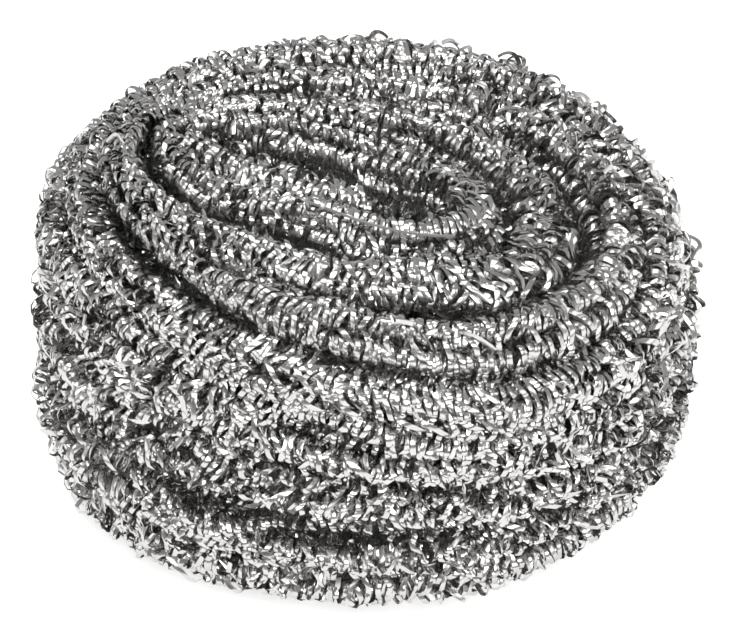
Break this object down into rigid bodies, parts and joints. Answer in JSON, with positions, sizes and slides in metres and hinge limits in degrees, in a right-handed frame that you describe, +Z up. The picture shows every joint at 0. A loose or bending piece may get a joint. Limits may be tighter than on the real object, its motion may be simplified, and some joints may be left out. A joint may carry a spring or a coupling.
{
  "type": "stainless steel spiral scourer",
  "caption": "Round bun of one flat stainless wire, curled into a springy rope of loops and wound in a spiral, for scouring pots and pans.",
  "frame": {"origin": "middle of the bounding box in X and Y, on the surface it stands on", "axes": "+Z up from its pressed-flat underside to the crown with the eye, -Y towards the viewer of the picture, +X to the viewer's right"},
  "size_m": [0.0936, 0.089, 0.0505],
  "materials": {
    "stainless_wire": "bright drawn flat wire with fine lengthwise lines"
  },
  "bodies": {
    "root": {"wire_coil": "stainless_wire"}
  },
  "joints": []
}
